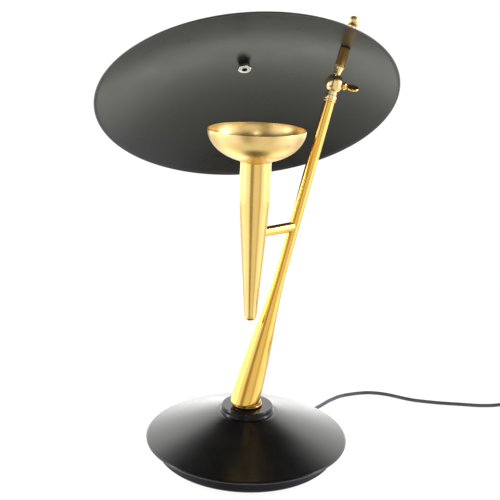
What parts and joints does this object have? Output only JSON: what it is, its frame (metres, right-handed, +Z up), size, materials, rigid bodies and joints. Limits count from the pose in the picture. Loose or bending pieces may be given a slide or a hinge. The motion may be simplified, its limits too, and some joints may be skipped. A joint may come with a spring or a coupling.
{
  "type": "table lamp",
  "caption": "Uplighter table lamp: brass torch and bowl, leaning brass arm on a round cone base, and a domed dish on a ball joint that throws the light down.",
  "frame": {"origin": "middle of the underside of the base, on the table", "axes": "+Z up; +Y is the way the arm leans; the front of the lamp, as in its picture, is seen looking along the horizontal direction 48.6 degrees from +X plus 90, so the camera stands towards +X and -Y"},
  "size_m": [0.519, 0.4888, 0.4709],
  "materials": {
    "polished_brass": "polished",
    "satin_brass": "fine brushed satin",
    "black_paint": "satin black enamel",
    "dish_paint": "satin charcoal enamel",
    "steel": "plain machined",
    "nickel": "bright nickel plate",
    "cast_iron": "raw casting",
    "felt": "pressed felt",
    "black_rubber": "matt",
    "black_plastic": "moulded",
    "white_plastic": "moulded",
    "ceramic": "unglazed ceramic",
    "clear_glass": "clear",
    "cord_sheath": "smooth sheath",
    "brown_wire": "smooth insulation",
    "blue_wire": "smooth insulation"
  },
  "bodies": {
    "lamp": {"felt_pad": "felt", "base_plinth": "black_paint", "base_weight": "cast_iron", "base_cover": "black_paint", "base_collar": "black_paint", "foot_ring": "polished_brass", "base_stud": "steel", "base_washer": "steel", "base_nut": "steel", "cover_post_1": "steel", "cover_post_2": "steel", "cover_post_3": "steel", "base_screw_1": "steel", "base_screw_2": "steel", "base_screw_3": "steel", "cord_strain_relief": "black_rubber", "cord_tail": "cord_sheath", "terminal_block": "white_plastic", "lead_live": "brown_wire", "lead_neutral": "blue_wire", "arm": "polished_brass", "tie_bar": "polished_brass", "torch_body": "satin_brass", "torch_tip": "satin_brass", "bowl": "satin_brass", "bowl_ring": "satin_brass", "lampholder": "ceramic", "lampholder_plate": "steel", "swivel_lower": "polished_brass", "cord_run_1": "cord_sheath", "cord_run_2": "cord_sheath", "cord_coil": "cord_sheath", "cord_tie": "black_plastic", "switch_lower": "black_plastic", "switch_upper": "black_plastic", "plug_body": "black_plastic", "plug_pin_1": "nickel", "plug_pin_2": "nickel"},
    "head": {"swivel_upper": "polished_brass", "swivel_washer": "steel", "reflector_rod": "polished_brass"},
    "dish": {"reflector": "dish_paint", "lower_washer": "black_rubber", "upper_washer": "steel", "centre_washer": "black_plastic", "centre_nut": "nickel", "centre_stud": "steel", "centre_cap": "black_plastic"},
    "thumb_screw": {"thumb_screw": "polished_brass"},
    "finial": {"finial": "polished_brass"},
    "bulb": {"bulb_cap": "ceramic", "bulb_capsule": "clear_glass"},
    "rocker": {"switch_rocker": "black_plastic"}
  },
  "joints": [
    {"name": "reflector_tilt", "type": "hinge", "parent": "lamp", "child": "head", "pos_m": [0, 0.10758, 0.3963], "axis": [0.8007, 0.5687, -0.1881], "range_deg": [-40, 35]},
    {"name": "reflector_turn", "type": "hinge", "parent": "head", "child": "dish", "pos_m": [-0.00551, 0.12728, 0.43241], "axis": [-0.1327, 0.4746, 0.8701], "continuous": true},
    {"name": "thumb_screw_turn", "type": "hinge", "parent": "lamp", "child": "thumb_screw", "pos_m": [0, 0.10758, 0.3963], "axis": [0.8007, 0.5687, -0.1881], "range_deg": [0, 360]},
    {"name": "finial_turn", "type": "hinge", "parent": "head", "child": "finial", "pos_m": [-0.00551, 0.12728, 0.43241], "axis": [-0.1327, 0.4746, 0.8701], "continuous": true},
    {"name": "bulb_pull", "type": "slide", "parent": "lamp", "child": "bulb", "axis": [0, 0, 1], "range_m": [0, 0.014]},
    {"name": "switch_rock", "type": "hinge", "parent": "lamp", "child": "rocker", "pos_m": [0.13544, 0.34719, 0.0123], "axis": [0.7501, -0.6613, 0], "range_deg": [0, 14]}
  ]
}
